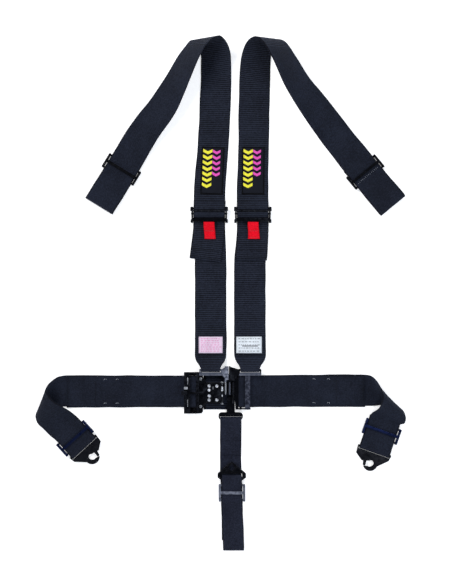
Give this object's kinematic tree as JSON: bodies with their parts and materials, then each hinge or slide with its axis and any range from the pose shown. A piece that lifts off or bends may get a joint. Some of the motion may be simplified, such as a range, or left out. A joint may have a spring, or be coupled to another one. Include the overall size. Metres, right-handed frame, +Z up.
{
  "type": "racing harness",
  "caption": "Latch and link racing harness laid flat: folded shoulder, lap and sub webbing belts, steel buckle with release lever, adjusters, 3-bar slides and snap hook ends.",
  "frame": {"origin": "on the floor, below the middle of the laid out harness", "axes": "+Y from the buckle towards the shoulder straps' wrap ends, +X towards the link side of the lap belt, +Z up, away from the floor and towards the side with the buckle's lever"},
  "size_m": [0.8961, 1.2392, 0.0665],
  "materials": {
    "black_steel": "gloss black coated steel",
    "blue_black_steel": "gloss black coated steel with a blue cast",
    "bright_steel": "zinc plated steel",
    "grey_steel": "satin grey coated steel",
    "left_label_cloth": "woven satin label",
    "patch_cloth": "embroidered twill",
    "red_webbing": "woven nylon tab",
    "right_label_cloth": "woven satin label",
    "spring_steel": "spring steel",
    "webbing": "woven polyester webbing with fine cross ribs"
  },
  "bodies": {
    "buckle": {"link_plate": "black_steel", "latch_frame": "black_steel", "latch_base": "black_steel", "latch_rivets": "bright_steel", "lever_hinge_pin": "bright_steel", "lever_spring": "spring_steel", "buckle_pad": "webbing"},
    "release_lever": {"release_lever": "black_steel", "lever_catch": "black_steel"},
    "latch_load_bar": {"latch_load_bar": "black_steel"},
    "link_load_bar": {"link_load_bar": "black_steel"},
    "sub_tongue": {"sub_tongue": "black_steel"},
    "sub_belt": {"sub_strap_webbing": "webbing", "sub_anchor_bracket": "black_steel"},
    "sub_slide": {"sub_slide": "grey_steel"},
    "left_shoulder_tongue": {"left_shoulder_tongue": "black_steel"},
    "left_lower_belt": {"left_lower_shoulder_webbing": "webbing", "left_adjuster_frame": "black_steel", "left_label": "left_label_cloth"},
    "left_load_bar": {"left_adjuster_load_bar": "black_steel"},
    "left_pull_tab": {"left_pull_tab": "red_webbing"},
    "left_upper_belt": {"left_upper_shoulder_webbing": "webbing", "left_bar_loop_webbing": "webbing", "left_patch": "patch_cloth"},
    "left_shoulder_slide": {"left_shoulder_slide": "black_steel"},
    "left_lap_belt": {"left_lap_webbing": "webbing"},
    "left_lap_slide": {"left_lap_slide": "blue_black_steel"},
    "left_snap_hook": {"left_snap_hook": "black_steel", "left_gate_rivet": "bright_steel"},
    "left_snap_gate": {"left_snap_gate": "black_steel"},
    "right_shoulder_tongue": {"right_shoulder_tongue": "black_steel"},
    "right_lower_belt": {"right_lower_shoulder_webbing": "webbing", "right_adjuster_frame": "black_steel", "right_label": "right_label_cloth"},
    "right_load_bar": {"right_adjuster_load_bar": "black_steel"},
    "right_pull_tab": {"right_pull_tab": "red_webbing"},
    "right_upper_belt": {"right_upper_shoulder_webbing": "webbing", "right_bar_loop_webbing": "webbing", "right_patch": "patch_cloth"},
    "right_shoulder_slide": {"right_shoulder_slide": "black_steel"},
    "right_lap_belt": {"right_lap_webbing": "webbing"},
    "right_lap_slide": {"right_lap_slide": "blue_black_steel"},
    "right_snap_hook": {"right_snap_hook": "black_steel", "right_gate_rivet": "bright_steel"},
    "right_snap_gate": {"right_snap_gate": "black_steel"}
  },
  "joints": [
    {"name": "release_lever_hinge", "type": "hinge", "parent": "buckle", "child": "release_lever", "pos_m": [0.002, -0.2365, 0.0165], "axis": [0, 1, 0], "range_deg": [0, 100]},
    {"name": "latch_load_bar_slide", "type": "slide", "parent": "buckle", "child": "latch_load_bar", "axis": [1, 0, 0], "range_m": [-0.0015, 0]},
    {"name": "link_load_bar_slide", "type": "slide", "parent": "buckle", "child": "link_load_bar", "axis": [1, 0, 0], "range_m": [0, 0.0015]},
    {"name": "sub_tongue_tilt", "type": "hinge", "parent": "buckle", "child": "sub_tongue", "pos_m": [0.029, -0.226, 0.01], "axis": [-1, 0, 0], "range_deg": [0, 5]},
    {"name": "sub_strap_swing", "type": "hinge", "parent": "sub_tongue", "child": "sub_belt", "pos_m": [0.023, -0.3, 0.0053], "axis": [-1, 0, 0], "range_deg": [0, 90]},
    {"name": "sub_slide_travel", "type": "slide", "parent": "sub_belt", "child": "sub_slide", "axis": [0, -1, 0], "range_m": [-0.005, 0.015]},
    {"name": "left_tongue_tilt", "type": "hinge", "parent": "buckle", "child": "left_shoulder_tongue", "pos_m": [0.0105, -0.226, 0.01], "axis": [1, 0, 0], "range_deg": [0, 5]},
    {"name": "left_shoulder_swing", "type": "hinge", "parent": "left_shoulder_tongue", "child": "left_lower_belt", "pos_m": [-0.0255, -0.181, 0.0165], "axis": [1, 0, 0], "range_deg": [0, 90]},
    {"name": "left_load_bar_slide", "type": "slide", "parent": "left_lower_belt", "child": "left_load_bar", "axis": [0, 1, 0], "range_m": [-0.0015, 0]},
    {"name": "left_pull_tab_swing", "type": "hinge", "parent": "left_lower_belt", "child": "left_pull_tab", "pos_m": [-0.029, 0.1729, 0.0095], "axis": [-1, 0, 0], "range_deg": [0, 100]},
    {"name": "left_upper_belt_swing", "type": "hinge", "parent": "left_lower_belt", "child": "left_upper_belt", "pos_m": [-0.0285, 0.2095, 0.0053], "axis": [1, 0, 0], "range_deg": [0, 90]},
    {"name": "left_shoulder_slide_travel", "type": "slide", "parent": "left_upper_belt", "child": "left_shoulder_slide", "axis": [-0.5225, -0.8526, 0], "range_m": [-0.01, 0.015]},
    {"name": "left_lap_swing", "type": "hinge", "parent": "buckle", "child": "left_lap_belt", "pos_m": [-0.064, -0.234, 0.0062], "axis": [0, 1, 0], "range_deg": [0, 12]},
    {"name": "left_lap_slide_travel", "type": "slide", "parent": "left_lap_belt", "child": "left_lap_slide", "axis": [0.6756, -0.7373, 0], "range_m": [-0.008, 0]},
    {"name": "left_hook_swing", "type": "hinge", "parent": "left_lap_belt", "child": "left_snap_hook", "pos_m": [-0.33455, -0.36801, 0.0053], "axis": [-0.7373, -0.6756, 0], "range_deg": [0, 85]},
    {"name": "left_gate_hinge", "type": "hinge", "parent": "left_snap_hook", "child": "left_snap_gate", "pos_m": [-0.31261, -0.36826, 0.0077], "axis": [0, 0, -1], "range_deg": [0, 25], "stiffness_Nm_per_rad": 0.01},
    {"name": "right_tongue_tilt", "type": "hinge", "parent": "buckle", "child": "right_shoulder_tongue", "pos_m": [0.0205, -0.226, 0.01], "axis": [1, 0, 0], "range_deg": [0, 5]},
    {"name": "right_shoulder_swing", "type": "hinge", "parent": "right_shoulder_tongue", "child": "right_lower_belt", "pos_m": [0.0695, -0.181, 0.0165], "axis": [1, 0, 0], "range_deg": [0, 90]},
    {"name": "right_load_bar_slide", "type": "slide", "parent": "right_lower_belt", "child": "right_load_bar", "axis": [0, 1, 0], "range_m": [-0.0015, 0]},
    {"name": "right_pull_tab_swing", "type": "hinge", "parent": "right_lower_belt", "child": "right_pull_tab", "pos_m": [0.0765, 0.1729, 0.0095], "axis": [-1, 0, 0], "range_deg": [0, 100]},
    {"name": "right_upper_belt_swing", "type": "hinge", "parent": "right_lower_belt", "child": "right_upper_belt", "pos_m": [0.076, 0.2095, 0.0053], "axis": [1, 0, 0], "range_deg": [0, 90]},
    {"name": "right_shoulder_slide_travel", "type": "slide", "parent": "right_upper_belt", "child": "right_shoulder_slide", "axis": [0.6361, -0.7716, 0], "range_m": [-0.01, 0.015]},
    {"name": "right_lap_swing", "type": "hinge", "parent": "buckle", "child": "right_lap_belt", "pos_m": [0.047, -0.233, 0.0062], "axis": [0, -1, 0], "range_deg": [0, 8]},
    {"name": "right_lap_slide_travel", "type": "slide", "parent": "right_lap_belt", "child": "right_lap_slide", "axis": [-0.3338, -0.9426, 0], "range_m": [-0.008, 0.01]},
    {"name": "right_hook_swing", "type": "hinge", "parent": "right_lap_belt", "child": "right_snap_hook", "pos_m": [0.37164, -0.3776, 0.0053], "axis": [-0.9426, 0.3338, 0], "range_deg": [0, 85]},
    {"name": "right_gate_hinge", "type": "hinge", "parent": "right_snap_hook", "child": "right_snap_gate", "pos_m": [0.35155, -0.3864, 0.0077], "axis": [0, 0, 1], "range_deg": [0, 25], "stiffness_Nm_per_rad": 0.01}
  ]
}
